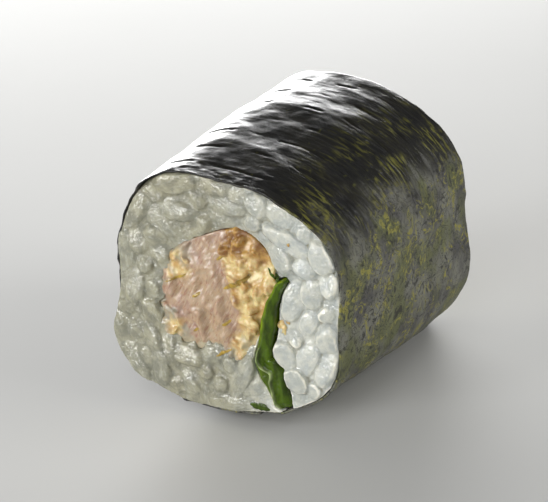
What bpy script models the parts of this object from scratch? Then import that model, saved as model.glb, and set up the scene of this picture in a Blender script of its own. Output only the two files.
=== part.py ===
"""Chicken maki: one cut piece of a rolled sushi, lying on its side.

A sheet of nori is wound once round a bed of rice, with its two ends lapped underneath. A strip of
fried chicken and a folded green leaf run through the rice from one cut face to the other. The roll's
axis is Y, the shown cut face looks along -Y, and the roll rests on a flat spot of the nori at Z = 0.
"""

import math

import bmesh
import bpy
import numpy as np

MM = 0.001

# The roll. Outlines are polar: radii every 30 degrees, from +X towards +Z, about the roll's axis.
LENGTH = 36.8 * MM
AXIS_HEIGHT = 16.5 * MM
FRONT_RADII = MM * np.array([17, 19, 18, 17.5, 19, 17, 15.5, 18.5, 16.5, 15.5, 16, 18])
BACK_RADII = MM * np.array([16.5, 18, 18, 18, 19, 16, 15.5, 17, 18, 17, 19, 19])
WAIST_BULGE = 0.5 * MM

# The nori sheet, and the lap of its two ends under the roll.
NORI_THICKNESS = 0.4 * MM
LAP_GAP = 0.12 * MM
LAP_START = math.radians(262)
LAP_ANGLE = math.radians(26)
LAP_STEP_ANGLE = math.radians(12)
NORI_COLUMNS = 62
ROLL_ROWS = 6

# Clearance between pieces that touch.
CLEARANCE = 0.3 * MM

# The chicken strip: radii every 30 degrees about its own centre.
CHICKEN_CENTRE = (-1.5 * MM, 17.5 * MM)
CHICKEN_RADII = MM * np.array([7.6, 10.5, 11, 8.5, 7.5, 8, 8, 9.5, 9, 7.5, 9.4, 7.5])
CHICKEN_DOME = 0.6 * MM
CHICKEN_PROUD = 0.3 * MM
CHICKEN_FACE_CELLS = 14
CHICKEN_ROWS = 12

# Its relief: fine in the meat, craggy in the fried crust, which covers the strip on these sides.
MEAT_DEPTH = 0.2 * MM
CRAG_DEPTH = 0.8 * MM
CRAG_SPAN = 4.0 * MM
CRUST_SIDES = ((math.radians(40), 3.0 * MM), (math.radians(140), 6.0 * MM))
CRUST_FADE = 2.5 * MM

# The folded leaf in section: x, z and thickness at stations from its tip down to its fold.
LEAF_STATIONS = MM * np.array([
    (10.6, 22.3, 0.6),
    (9.6, 21.9, 1.1),
    (8.7, 20.4, 1.3),
    (7.9, 18.2, 1.6),
    (7.2, 15.7, 2.0),
    (6.6, 13.2, 2.0),
    (6.3, 11.2, 2.2),
    (6.5, 9.3, 3.0),
    (7.4, 7.5, 3.4),
    (8.2, 5.8, 2.9),
    (8.7, 4.4, 2.0),
])
LEAF_STEPS = 3
LEAF_ROWS = 8
LEAF_PROUD = 0.8 * MM
LEAF_WAVE = 0.12 * MM
LEAF_WAVELENGTH = 15 * MM

# The bed of rice, how far it stands out of the nori, and how that grows along x and z.
RICE_COLUMNS = 60
RICE_PROUD = 1.2 * MM
RICE_PROUD_LEAN = (-0.02, -0.03)
RIM_COVER = 0.55 * MM
RIM_COVER_SIDE = math.radians(212)

# The grains that show on the cut faces.
GRAINS_PER_FACE = 58
GRAIN_LENGTH = (6.2 * MM, 7.4 * MM)
GRAIN_WIDTH = (2.9 * MM, 3.4 * MM)
GRAIN_SIDES = 6
GRAIN_BANDS = 4
GRAIN_RISE = 1.9 * MM
GRAIN_SINK = 0.4 * MM
GRAIN_INSET = 0.05 * MM
END_ON_SHARE = 0.18
END_ON_TILT = (0.9, 1.4)
LYING_TILT = (0.0, 0.35)
FRONT_SEED = 5
BACK_SEED = 23

# How the grains are packed: the number of steps, and the share of an overlap undone in one step.
PACK_STEPS = 260
PUSH_OFF_GRAINS = 0.3
PUSH_OFF_WALLS = 0.8

# Making the solids.
OUTLINE_STEPS = 72
RUN_OUT = 5 * MM
WELD = 0.003 * MM
SHARP_ANGLE = math.radians(45)
FULL_TURN = 2 * math.pi


def clear_scene():
    for old in list(bpy.data.objects):
        bpy.data.objects.remove(old)


def food_material(name, colour, roughness):
    material = bpy.data.materials.new(name)
    material.use_nodes = True
    shader = material.node_tree.nodes["Principled BSDF"]
    shader.inputs["Base Color"].default_value = (*colour, 1.0)
    shader.inputs["Roughness"].default_value = roughness
    shader.inputs["Metallic"].default_value = 0.0
    return material


# Curves and outlines


def smoothstep(t):
    t = np.clip(t, 0.0, 1.0)
    return t * t * (3 - 2 * t)


def catmull_rom(before, start, end, after, t):
    """The curve from start to end at t, shaped by the points before and after them."""
    return 0.5 * (
        2 * start
        + (end - before) * t
        + (2 * before - 5 * start + 4 * end - after) * t**2
        + (3 * start - before - 3 * end + after) * t**3
    )


def polar_radius(radii, angle):
    """A smooth closed outline's radius at these angles, through radii that are evenly spaced."""
    place = np.mod(angle, FULL_TURN) / FULL_TURN * len(radii)
    first = np.floor(place).astype(int)
    around = [radii[(first + k) % len(radii)] for k in (-1, 0, 1, 2)]
    return catmull_rom(*around, place - first)


def roll_outline(angle, y, depth):
    """Points of the roll at these angles and lengths along it, depth below its outside."""
    share = y / LENGTH + 0.5
    blend = smoothstep(share)
    radius = (1 - blend) * polar_radius(FRONT_RADII, angle) + blend * polar_radius(BACK_RADII, angle)
    radius = radius + WAIST_BULGE * np.clip(4 * share * (1 - share), 0, 1) - depth
    x = radius * np.cos(angle)
    z = np.maximum(AXIS_HEIGHT + radius * np.sin(angle), depth)
    return np.stack(np.broadcast_arrays(x, y, z), axis=-1)


def lap_depth(turn):
    """How deep the sheet's outside lies, turn radians on from its inner end: it starts tucked under."""
    tucked = NORI_THICKNESS + LAP_GAP
    return tucked * (1 - smoothstep((turn - LAP_ANGLE) / LAP_STEP_ANGLE))


def bed_depth(angle):
    """How deep the rice starts: below the innermost layer of nori, with clearance.

    It already dips a little before the sheet's inner end.
    """
    turn = np.mod(angle - LAP_START + LAP_STEP_ANGLE, FULL_TURN) - LAP_STEP_ANGLE
    dip = smoothstep(2 * turn / LAP_STEP_ANGLE + 2)
    return dip * lap_depth(turn) + NORI_THICKNESS + CLEARANCE


def rim_depth(angle):
    """How deep the rice starts in front of the nori's edge, which it covers on the left and below."""
    cover = smoothstep(1.8 * np.cos(angle - RIM_COVER_SIDE) - 0.1)
    return bed_depth(angle) - RIM_COVER * cover


def chicken_outline(angle, grown=0.0):
    """x and z of the chicken strip's side at these angles."""
    radius = polar_radius(CHICKEN_RADII, angle) + grown
    return CHICKEN_CENTRE[0] + radius * np.cos(angle), CHICKEN_CENTRE[1] + radius * np.sin(angle)


def leaf_sides(grown=0.0):
    """The leaf's section: x and z of its left and right sides, from its tip down to its fold."""
    ends = 2 * LEAF_STATIONS[[0, -1]] - LEAF_STATIONS[[1, -2]]
    stations = np.concatenate([ends[:1], LEAF_STATIONS, ends[1:]])
    steps = np.arange(LEAF_STEPS)[:, None] / LEAF_STEPS
    spans = [catmull_rom(*stations[k : k + 4], steps) for k in range(len(stations) - 3)]
    line = np.concatenate([*spans, LEAF_STATIONS[-1:]])
    centre, thickness = line[:, :2], line[:, 2:]
    along = np.gradient(centre, axis=0)
    along = along / np.linalg.norm(along, axis=1, keepdims=True)
    centre[0] -= along[0] * grown
    centre[-1] += along[-1] * grown
    across = np.stack([along[:, 1], -along[:, 0]], axis=-1) * (thickness / 2 + grown)
    return centre + across, centre - across


# Meshes


def new_object(name, vertices, faces, material):
    """An object of this mesh, its faces pointing out and split in one fixed way."""
    mesh = bpy.data.meshes.new(name)
    mesh.from_pydata([tuple(v) for v in vertices], [], [tuple(int(k) for k in face) for face in faces])
    body = bmesh.new()
    body.from_mesh(mesh)
    bmesh.ops.recalc_face_normals(body, faces=body.faces)
    bmesh.ops.triangulate(body, faces=body.faces, quad_method="FIXED")
    body.to_mesh(mesh)
    body.free()
    if material:
        mesh.materials.append(material)
    thing = bpy.data.objects.new(name, mesh)
    bpy.context.scene.collection.objects.link(thing)
    return thing


def sheet_solid(name, outside, inside, material):
    """A closed thin solid between two grids of points that match, each rows x columns x 3."""
    rows, columns = outside.shape[:2]
    number = np.arange(2 * rows * columns).reshape(2, rows, columns)
    faces = []
    for side in number:
        corners = side[:-1, :-1], side[:-1, 1:], side[1:, 1:], side[1:, :-1]
        faces += list(np.stack(corners, axis=-1).reshape(-1, 4))
    for edge in (number[:, 0], number[:, -1], number[:, :, 0], number[:, :, -1]):
        corners = edge[0, :-1], edge[0, 1:], edge[1, 1:], edge[1, :-1]
        faces += list(np.stack(corners, axis=-1))
    vertices = np.concatenate([outside.reshape(-1, 3), inside.reshape(-1, 3)])
    return new_object(name, vertices, faces, material)


def loop_bands(loops):
    """The faces between loops of vertex numbers that follow one another."""
    faces = []
    for near, far in zip(loops[:-1], loops[1:]):
        faces += [(near[k - 1], near[k], far[k], far[k - 1]) for k in range(len(near))]
    return faces


def lofted_solid(name, rings, material):
    """A closed solid through rings of points, with flat ends."""
    rings = np.asarray(rings)
    loops = np.arange(rings.shape[0] * rings.shape[1]).reshape(rings.shape[:2])
    faces = loop_bands(loops) + [loops[0], loops[-1]]
    return new_object(name, rings.reshape(-1, 3), faces, material)


def boolean(thing, operation, others):
    """Joins or cuts thing with the others by one modifier, applies it and removes them."""
    group = bpy.data.collections.new("others")
    for other in others:
        group.objects.link(other)
    modifier = thing.modifiers.new(operation, "BOOLEAN")
    modifier.operation = operation
    modifier.operand_type = "COLLECTION"
    modifier.collection = group
    modifier.solver = "EXACT"
    graph = bpy.context.evaluated_depsgraph_get()
    made = bpy.data.meshes.new_from_object(thing.evaluated_get(graph))
    thing.modifiers.clear()
    thing.data = made
    for other in others:
        bpy.data.objects.remove(other)
    bpy.data.collections.remove(group)


def keep_largest_shell(thing):
    """Drops loose scraps, and the walls of any hollow that fusing has sealed."""
    body = bmesh.new()
    body.from_mesh(thing.data)
    bmesh.ops.remove_doubles(body, verts=body.verts, dist=WELD)
    bmesh.ops.dissolve_degenerate(body, edges=body.edges, dist=WELD)
    left = set(body.faces)
    shells = []
    while left:
        found, waiting = [], [left.pop()]
        while waiting:
            face = waiting.pop()
            found.append(face)
            near = {other for edge in face.edges for other in edge.link_faces} & left
            left -= near
            waiting.extend(near)
        shells.append(found)
    shells.sort(key=len)
    scraps = [face for shell in shells[:-1] for face in shell]
    bmesh.ops.delete(body, geom=scraps, context="FACES")
    body.to_mesh(thing.data)
    body.free()


def shade_round(thing):
    """Shades the round surfaces smooth and keeps the sharp edges."""
    thing.data.shade_smooth()
    thing.data.set_sharp_from_angle(angle=SHARP_ANGLE)


# The nori, the chicken and the leaf


def nori_sheet(material):
    """One sheet wound round the roll by a full turn and the lap, with its inner end tucked under."""
    turn = np.linspace(0, FULL_TURN + LAP_ANGLE, NORI_COLUMNS)[None, :]
    y = np.linspace(-LENGTH / 2, LENGTH / 2, ROLL_ROWS)[:, None]
    depth = lap_depth(turn)
    outside = roll_outline(LAP_START + turn, y, depth)
    inside = roll_outline(LAP_START + turn, y, depth + NORI_THICKNESS)
    return sheet_solid("nori", outside, inside, material)


def crag_height(x, y, z):
    """Crags from about -1 to 1, out of crossed waves about one crag's span long."""
    x, y, z = (FULL_TURN / CRAG_SPAN * along for along in (x, y, z))
    first = np.sin(x + 1.3 * np.sin(0.7 * z) + 2.0)
    second = np.sin(1.1 * z + 1.7 * np.sin(0.8 * y) + 0.5)
    third = np.sin(0.9 * y + 1.1 * np.sin(1.1 * x))
    return (first * second + second * third + third * first) / 1.8


def crust_share(x, z):
    """1 in the fried crust and 0 in the meat."""
    share = 0.0
    for side, start in CRUST_SIDES:
        out = (x - CHICKEN_CENTRE[0]) * math.cos(side) + (z - CHICKEN_CENTRE[1]) * math.sin(side)
        share = np.maximum(share, smoothstep((out - start) / CRUST_FADE))
    return share


def disc_grid(cells):
    """A square grid eased onto a disc of radius 1, its points' numbers, and its border's in order."""
    line = np.linspace(-1, 1, cells + 1)
    u, v = np.meshgrid(line, line)
    grid = np.stack([u * np.sqrt(1 - v**2 / 2), v * np.sqrt(1 - u**2 / 2)], axis=-1).reshape(-1, 2)
    number = np.arange(len(grid)).reshape(cells + 1, cells + 1)
    border = np.concatenate([number[0, :-1], number[:-1, -1], number[-1, :0:-1], number[:0:-1, 0]])
    return grid, number, border


def chicken_points(disc, y, dome):
    """The strip's points at these places of the disc, y along it, its middle standing out by dome."""
    share = np.linalg.norm(disc, axis=-1)
    angle = np.arctan2(disc[:, 1], disc[:, 0])
    x, z = chicken_outline(angle)
    x = CHICKEN_CENTRE[0] + share * (x - CHICKEN_CENTRE[0])
    z = CHICKEN_CENTRE[1] + share * (z - CHICKEN_CENTRE[1])
    height = crag_height(x, y, z) * (MEAT_DEPTH + (CRAG_DEPTH - MEAT_DEPTH) * crust_share(x, z))
    sunk = share * (CRAG_DEPTH - height) / 2
    proud = dome * (1 - share**2) + math.copysign(1.0, dome) * height * (1 - share**8)
    return np.stack([x - sunk * np.cos(angle), y + proud, z - sunk * np.sin(angle)], axis=-1)


def chicken_strip(material):
    """The strip with its crust: a craggy side, and two cut ends that stand a little proud."""
    grid, number, border = disc_grid(CHICKEN_FACE_CELLS)
    half = LENGTH / 2 + CHICKEN_PROUD
    rows = np.linspace(-half, half, CHICKEN_ROWS)[1:-1]
    blocks = [chicken_points(grid, -half, -CHICKEN_DOME)]
    blocks += [chicken_points(grid[border], y, 0.0) for y in rows]
    blocks += [chicken_points(grid, half, CHICKEN_DOME)]
    side = len(grid) + np.arange(len(rows) * len(border)).reshape(len(rows), len(border))
    far_end = len(grid) + side.size
    faces = loop_bands([border, *side, far_end + border])
    for corner in (number, far_end + number):
        cells = corner[:-1, :-1], corner[:-1, 1:], corner[1:, 1:], corner[1:, :-1]
        faces += list(np.stack(cells, axis=-1).reshape(-1, 4))
    return new_object("chicken", np.concatenate(blocks), faces, material)


def leaf_strip(material):
    """The folded leaf, waved along its length."""
    half = LENGTH / 2 + LEAF_PROUD
    y = np.linspace(-half, half, LEAF_ROWS)[:, None]
    sides = []
    for x, z in (side.T for side in leaf_sides()):
        wave = LEAF_WAVE * np.sin(FULL_TURN * (y + z) / LEAF_WAVELENGTH)
        sides.append(np.stack(np.broadcast_arrays(x + wave, y, z), axis=-1))
    return sheet_solid("leaf", *sides, material)


# The rice


def rice_walls(y):
    """The closed outlines that hold the rice at one cut face.

    They are the bed within the nori, the wider bed in front of the nori's edge, and the fillings.
    """
    angle = np.linspace(0, FULL_TURN, OUTLINE_STEPS, endpoint=False)
    bed = roll_outline(angle, y, bed_depth(angle))[:, [0, 2]]
    rim = roll_outline(angle, y, rim_depth(angle))[:, [0, 2]]
    chicken = np.stack(chicken_outline(angle, CLEARANCE), axis=-1)
    left, right = leaf_sides(CLEARANCE + LEAF_WAVE)
    return bed, rim, [chicken, np.concatenate([left, right[::-1]])]


def from_outline(points, outline):
    """For each point, the way out of a closed outline there, and how far outside it the point is."""
    side = np.roll(outline, -1, axis=0) - outline
    reach = points[:, None] - outline
    along = np.clip((reach * side).sum(-1) / (side**2).sum(-1), 0, 1)
    gap = reach - along[..., None] * side
    distance = np.linalg.norm(gap, axis=-1)
    rows, nearest = np.arange(len(points)), distance.argmin(axis=1)
    above = points[:, None, 1] < outline[:, 1], points[:, None, 1] < outline[:, 1] + side[:, 1]
    right_of = side[:, 0] * reach[..., 1] > reach[..., 0] * side[:, 1]
    crossed = (above[0] != above[1]) & (right_of == (side[:, 1] > 0))
    sign = np.where(crossed.sum(axis=1) % 2 == 1, -1.0, 1.0)
    distance = distance[rows, nearest]
    return gap[rows, nearest] * (sign / np.maximum(distance, 1e-9))[:, None], distance * sign


def spread_evenly(rng, count, rim, fillings):
    """Places in the rice, each the farthest from those before it out of some random ones."""
    places = rng.uniform(rim.min(axis=0), rim.max(axis=0), (60 * count, 2))
    free = from_outline(places, rim)[1] < 0
    for filling in fillings:
        free &= from_outline(places, filling)[1] > 0
    places = places[free]
    chosen = [places[0]]
    for number in range(1, count):
        some = places[rng.integers(0, len(places), 12 + number)]
        nearest = np.linalg.norm(some[:, None] - np.array(chosen), axis=-1).min(axis=1)
        chosen.append(some[nearest.argmax()])
    return np.array(chosen)


def packed_grains(seed, y):
    """Grains thrown on a cut face at random, then pushed apart until they lie side by side.

    Each is a row of three discs, pushed by the discs of other grains, by the nori and by the filling.
    A few grains point along the roll and are seen end on.
    """
    rng = np.random.default_rng(seed)
    _, rim, fillings = rice_walls(y)
    count = GRAINS_PER_FACE
    length = rng.uniform(*GRAIN_LENGTH, count)
    width = rng.uniform(*GRAIN_WIDTH, count)
    end_on = rng.random(count) < END_ON_SHARE
    tilt = np.where(end_on, rng.uniform(*END_ON_TILT, count), rng.uniform(*LYING_TILT, count))
    tilt = tilt * rng.choice([-1, 1], count)
    heading = rng.uniform(0, math.pi, count)
    centre = spread_evenly(rng, count, rim, fillings)
    reach = (length - width) / 2 * np.cos(tilt)
    arm = np.stack([-reach, 0 * reach, reach], axis=1)
    radius = np.repeat(width / 2, 3)
    owner = np.repeat(np.arange(count), 3)
    others = owner[:, None] != owner
    for _ in range(PACK_STEPS):
        way = np.stack([np.cos(heading), np.sin(heading)], axis=-1)
        discs = (centre[:, None] + arm[..., None] * way[:, None]).reshape(-1, 2)
        apart = discs[:, None] - discs
        distance = np.linalg.norm(apart, axis=-1) + 1e-9
        overlap = np.clip(radius[:, None] + radius - distance, 0, None) * others
        push = (apart * (overlap / distance)[..., None]).sum(axis=1) * PUSH_OFF_GRAINS
        out, gap = from_outline(discs, rim)
        push -= out * np.clip(gap + radius, 0, None)[:, None] * PUSH_OFF_WALLS
        for filling in fillings:
            out, gap = from_outline(discs, filling)
            push += out * np.clip(radius - gap, 0, None)[:, None] * PUSH_OFF_WALLS
        push = push.reshape(count, 3, 2)
        centre = centre + push.mean(axis=1)
        turning = way[:, None, 0] * push[..., 1] - way[:, None, 1] * push[..., 0]
        heading = heading + (arm * turning).sum(axis=1) / (2 * reach**2 + (width / 4) ** 2)
    sink = rng.uniform(0, GRAIN_SINK, count)
    return zip(centre, heading, tilt, length, width, sink)


def rice_proud(x, z):
    """How far the rice stands out of the nori's edge here: more towards the left and the bottom."""
    return RICE_PROUD + RICE_PROUD_LEAN[0] * x + RICE_PROUD_LEAN[1] * (z - AXIS_HEIGHT)


def pressed_in(points, end):
    """Presses the points of a grain at one cut face back from the nori and the filling."""
    bed, rim, fillings = rice_walls(end * LENGTH / 2)
    flat = points[:, [0, 2]]
    in_front = end * points[:, 1] > LENGTH / 2 + CLEARANCE
    for wall, meets in ((bed, ~in_front), (rim, in_front)):
        out, gap = from_outline(flat, wall)
        flat = flat - out * (np.clip(gap + GRAIN_INSET, 0, None) * meets)[:, None]
    for filling in fillings:
        out, gap = from_outline(flat, filling)
        flat = flat + out * np.clip(GRAIN_INSET - gap, 0, None)[:, None]
    return np.stack([flat[:, 0], points[:, 1], flat[:, 1]], axis=-1)


def unit_grain():
    """A ball of diameter 1 with few sides, its poles along z: its points and its faces."""
    ball = bmesh.new()
    bmesh.ops.create_uvsphere(ball, u_segments=GRAIN_SIDES, v_segments=GRAIN_BANDS, radius=0.5)
    points = np.array([vertex.co for vertex in ball.verts])
    faces = [[vertex.index for vertex in face.verts] for face in ball.faces]
    ball.free()
    return points, faces


def grains_on_face(end, seed):
    """The grains that show on one cut face. end is -1 at the front and 1 at the back."""
    ball, faces = unit_grain()
    grains = []
    for centre, heading, tilt, length, width, sink in packed_grains(seed, end * LENGTH / 2):
        flat = math.cos(tilt)
        axis = np.array([math.cos(heading) * flat, math.sin(tilt), math.sin(heading) * flat])
        side = np.array([-math.sin(heading), 0.0, math.cos(heading)])
        frame = np.stack([side * width, np.cross(axis, side) * width, axis * length])
        half = width / 2 + (length - width) / 2 * abs(axis[1])
        y = end * (LENGTH / 2 + rice_proud(*centre) - sink - half)
        points = ball @ frame + (centre[0], y, centre[1])
        grains.append(new_object(f"grain{end}_{len(grains)}", pressed_in(points, end), faces, None))
    return grains


def rice_core(material):
    """The bed of rice without its loose grains: it fills the nori and ends a little below them."""
    angle = np.linspace(0, FULL_TURN, RICE_COLUMNS, endpoint=False)
    rings = []
    for share in np.linspace(-1, 1, ROLL_ROWS):
        ring = roll_outline(angle, share * LENGTH / 2, bed_depth(angle))
        ring[:, 1] = share * (LENGTH / 2 + rice_proud(ring[:, 0], ring[:, 2]) - GRAIN_RISE)
        rings.append(ring)
    return lofted_solid("rice", rings, material)


def filling_spaces():
    """The spaces that the chicken and the leaf run through, out past both cut faces."""
    far = LENGTH / 2 + RUN_OUT
    spaces = []
    for number, outline in enumerate(rice_walls(0.0)[2]):
        rings = [np.insert(outline, 1, y, axis=1) for y in (-far, far)]
        spaces.append(lofted_solid(f"space_{number}", rings, None))
    return spaces


def rice_bed(material):
    """The core with the grains fused on, hollow for the filling."""
    rice = rice_core(material)
    boolean(rice, "UNION", grains_on_face(-1, FRONT_SEED) + grains_on_face(1, BACK_SEED))
    boolean(rice, "DIFFERENCE", filling_spaces())
    keep_largest_shell(rice)
    return rice


def main():
    clear_scene()
    pieces = [
        nori_sheet(food_material("nori", (0.018, 0.02, 0.012), 0.4)),
        rice_bed(food_material("rice", (0.62, 0.62, 0.52), 0.35)),
        chicken_strip(food_material("chicken", (0.55, 0.36, 0.2), 0.5)),
        leaf_strip(food_material("leaf", (0.09, 0.14, 0.01), 0.35)),
    ]
    for piece in pieces:
        shade_round(piece)


main()
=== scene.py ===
"""The looks of one chicken maki: nori, rice grains, fried chicken and a folded leaf.

Lengths are in metres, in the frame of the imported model. The roll's axis is Y. An end is -1 for its
shown cut face, which looks along -Y, and 1 for the back one.
"""

import math

import bmesh
import bpy
import numpy as np
from mathutils import Matrix, Vector, noise
from mathutils.bvhtree import BVHTree


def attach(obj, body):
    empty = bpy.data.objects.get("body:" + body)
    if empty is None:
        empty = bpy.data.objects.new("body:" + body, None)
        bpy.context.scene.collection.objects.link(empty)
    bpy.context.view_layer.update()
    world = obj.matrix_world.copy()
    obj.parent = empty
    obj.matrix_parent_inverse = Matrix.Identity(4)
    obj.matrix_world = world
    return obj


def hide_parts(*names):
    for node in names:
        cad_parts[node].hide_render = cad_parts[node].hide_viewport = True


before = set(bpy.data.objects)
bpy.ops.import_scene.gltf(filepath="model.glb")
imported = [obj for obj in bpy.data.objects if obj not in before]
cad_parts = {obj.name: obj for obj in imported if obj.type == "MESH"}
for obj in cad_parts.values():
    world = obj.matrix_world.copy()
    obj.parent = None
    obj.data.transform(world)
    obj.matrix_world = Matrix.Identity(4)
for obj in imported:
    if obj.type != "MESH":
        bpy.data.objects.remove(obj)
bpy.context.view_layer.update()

MM = 0.001
FULL_TURN = 2 * math.pi

# The roll, as in the solids. Outlines are polar: radii every 30 degrees, from +X towards +Z.
LENGTH = 36.8 * MM
AXIS_HEIGHT = 16.5 * MM
FRONT_RADII = MM * np.array([17, 19, 18, 17.5, 19, 17, 15.5, 18.5, 16.5, 15.5, 16, 18])
BACK_RADII = MM * np.array([16.5, 18, 18, 18, 19, 16, 15.5, 17, 18, 17, 19, 19])
WAIST_BULGE = 0.5 * MM
OUTLINE_STEPS = 72

# The nori sheet: nearly as thin as a real one, with the two ends lapped under the roll.
NORI_THICKNESS = 0.25 * MM
LAP_GAP = 0.1 * MM
LAP_START = math.radians(262)
LAP_ANGLE = math.radians(26)
LAP_STEP_ANGLE = math.radians(12)
NORI_COLUMNS = 490
NORI_ROWS = 186
NORI_INNER_ROWS = 8
DENSEST_AT = 0.4
DENSENESS = 0.6
ARC_PER_TURN = 111 * MM
EDGE_RAGGED = 0.12 * MM

# Sides of the roll or of the chicken: each one's angle, how steeply it fades out and its width.
TOP_SIDE = (math.radians(108), 1.6, -0.3)
RIM_COVER_SIDE = (math.radians(212), 1.8, -0.1)
SMEARED_SIDE = (math.radians(215), 1.4, 0.7)

# The nori's relief: creases across its top, crumples behind its front edge, and fibres that fan out
# where the top turns into the side. The side is duller than the top and has a painted grey sheen. Angles
# here are in degrees.
CREASE_PITCH = 5 * MM
CREASE_WIDTH = 0.27 * MM
CREASE_WANDER = 0.5 * MM
CRUMPLED_TO = 7 * MM
CRUMPLE_FADE = 6 * MM
FAN_MIDDLE = 44
FAN_WIDTH = 20
DULL_SHEEN_FROM = -120
DULL_SHEEN_TO = 48
DULL_SHEEN_WANDER = 14

# Scraps where the nori's front edge stands forward: angle and half width in degrees, reach in mm.
NORI_SCRAPS = (
    (125, 5, 1.4), (156, 6, 0.7), (166, 3, 0.6), (224, 3, 0.7), (247, 3, 0.7), (302, 4, 0.8),
)
SCRAP_SPAN = 3 * MM

# What touches in the food keeps only this gap here, as the chicken swells into the solids' gap,
# most of all towards the leaf.
CLEARANCE = 0.05 * MM
SWELL = 0.2 * MM
LEAFWARD_SWELL = 0.25 * MM
LEAFWARD = math.radians(-10)
LEAFWARD_FOCUS = 3

# The chicken strip: radii every 30 degrees about its own centre, as for the roll.
CHICKEN_CENTRE = MM * np.array([-1.5, 17.5])
CHICKEN_RADII = MM * np.array([7.6, 10.5, 11, 8.5, 7.5, 8, 7.8, 8.6, 8.8, 7.5, 9.4, 7.5])
CHICKEN_DOME = 0.8 * MM
CHICKEN_PROUD = 0.2 * MM
CHICKEN_FACE_CELLS = 110
CHICKEN_FACE_DEPTH = 1.6 * MM
CHICKEN_VOXEL = 0.12 * MM
CHICKEN_COLUMNS = 144
CHICKEN_ROWS = 12
CHICKEN_RELAXING = (6, 0.3)
CHICKEN_BULGE_ROUNDS = 16
CRUST_FADE = 1.4 * MM
FIBRE_LEAN = math.radians(60)
RIDGE_PITCH = 3.6 * MM
SMEAR_REACH = 2.4 * MM
SMEAR_LAP = 1.0 * MM
RAGGEDNESS = 2.2
RAGGED_SIZE = 1.7 * MM

# Patches of crust and of browned crust on the cut faces: x, z and radius in mm.
CRUST_PATCHES = (
    (6.2, 19.6, 4.6), (4.6, 24.2, 4.4), (5.4, 14.8, 3.2), (-6.8, 21.8, 2.4), (-7.6, 12.4, 2.2),
    (3.2, 11.0, 2.0),
)
BROWN_PATCHES = ((2.6, 26.4, 2.8), (6.0, 25.6, 1.8), (2.8, 19.0, 0.9))
PATCH_WANDER = 1.0 * MM
PATCH_LUMP = 2 * MM

# Crumbs fused to the crust: tried at random places this far about the chicken's centre, in mm.
FRONT_CRUMB_SEED = 11
BACK_CRUMB_SEED = 12
CRUMB_TRIES = 6000
CRUMB_SPREAD = 11
CRUMBS_PER_FACE = 80
CRUMB_SIZE = (0.5 * MM, 2.0 * MM)
CRUMB_SINK = 0.6
CRUMB_REACH = 1.9 * MM

# Slivers that lie on the shown face, of seasoning and of leaf: x and z of both ends and the width,
# in mm.
SLIVERS = (
    (0.3, 18.9, 4.9, 21.7, 0.8), (-0.4, 22.8, 0.9, 23.8, 0.4), (-8.5, 18.3, -4.5, 20.4, 0.45),
    (-4.1, 17.1, -2.7, 18.1, 0.45), (-4.5, 12.0, -3.2, 12.9, 0.4), (0.2, 13.9, 1.6, 14.9, 0.45),
    (-1.2, 9.1, 1.5, 10.8, 0.5),
)
LEAF_SLIVERS = ((3.3, 3.2, 6.9, 3.0, 1.1), (6.9, 23.2, 9.1, 21.2, 0.5))
SLIVER_THICKNESS = 0.24 * MM
SLIVER_SINK = 0.06 * MM

# Loose crumbs on the rice: x, z and size in mm, and how brown.
LOOSE_CRUMBS = ((8.8, 15.0, 0.9, 0.1), (9.6, 15.8, 0.4, 0.5), (10.3, 26.9, 0.3, 0.9))

# The folded leaf in section: x, z and thickness in mm at stations from its tip down to its fold.
LEAF_STATIONS = MM * np.array([
    (9.6, 21.7, 0.5), (8.9, 21.1, 1.1), (8.3, 19.9, 1.1), (7.5, 17.9, 1.5), (7.1, 15.6, 2.0),
    (6.6, 13.2, 2.1), (6.1, 11.6, 2.0), (5.9, 9.9, 2.7), (6.9, 8.2, 3.7), (7.7, 6.5, 2.9),
    (8.3, 5.0, 2.6), (8.8, 3.5, 1.8),
])
LEAF_STEPS = 14
LEAF_CELLS = 36
LEAF_PROUD = 1.2 * MM
LEAF_WAVE = 0.12 * MM
LEAF_WAVELENGTH = 15 * MM

# Where the leaf's wet ridge runs, with a hollow beside it: the share of the way down, and across
# from -1 to 1.
RIDGE_DOWN = (0.0, 0.45, 0.63, 0.72, 0.77, 0.83, 0.92, 1.0)
RIDGE_ACROSS = (-0.2, -0.35, -0.65, 0.1, -0.25, -0.47, -0.6, -0.65)
RIDGE_WIDTH = 0.11
HOLLOW_OFF = 0.5
HOLLOW_WIDTH = 0.35

# The rice: how far it stands out of the nori, how that grows along x and z, and how far it covers
# the nori's edge. Behind the grains of each face is a slab.
RICE_PROUD = 1.2 * MM
RICE_PROUD_LEAN = (-0.02, -0.03)
RIM_COVER = 0.2 * MM
SLAB_DEPTH = 1.2 * MM
MIDDLE_INSET = 1.3 * MM
MIDDLE_ROWS = 7
RICE_VOXEL = 0.142 * MM
RICE_RELIEF = 0.055 * MM

# On its left the shown face has run together to gel in its shape, and its look turns greyer and
# darker there, the gel's own colour with painted shade: the x where each starts, and how far it takes.
SOFT_SHAPE = (5 * MM, 9 * MM)
GEL_AND_SHADE_LOOK = (11 * MM, 13 * MM)
FIRM_RELAXING = 0.05
SOFT_RELAXING = 0.2
RELAXING_ROUNDS = 8
RICE_BULGE_ROUNDS = 6

# The grains: ranges of their sizes in metres, and of their tilts from the face in radians.
GRAINS_PER_FACE = 58
GRAIN_LENGTH = (6.2 * MM, 7.4 * MM)
GRAIN_WIDTH = (2.9 * MM, 3.4 * MM)
USUAL_GRAIN_IN_MM = (3.1, 3.1, 6.5)
GRAIN_BEND = 0.1
GRAIN_SINK = (0.2 * MM, 0.6 * MM)
GRAIN_LIFT = (0.1 * MM, 0.7 * MM)
GRAIN_RISE = 0.85 * MM
GRAIN_INSET = 0.05 * MM
CUT_SOFTNESS = 0.3 * MM
TOP_TILT = 0.14
TOP_RISE = 0.4 * MM
LEAN_LEVEL = 0.4 * MM
LEAN_OVER = 1.8 * MM
END_ON_SHARE = 0.18
END_ON_TILT = (0.9, 1.4)
LYING_TILT = (0.0, 0.35)

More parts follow.
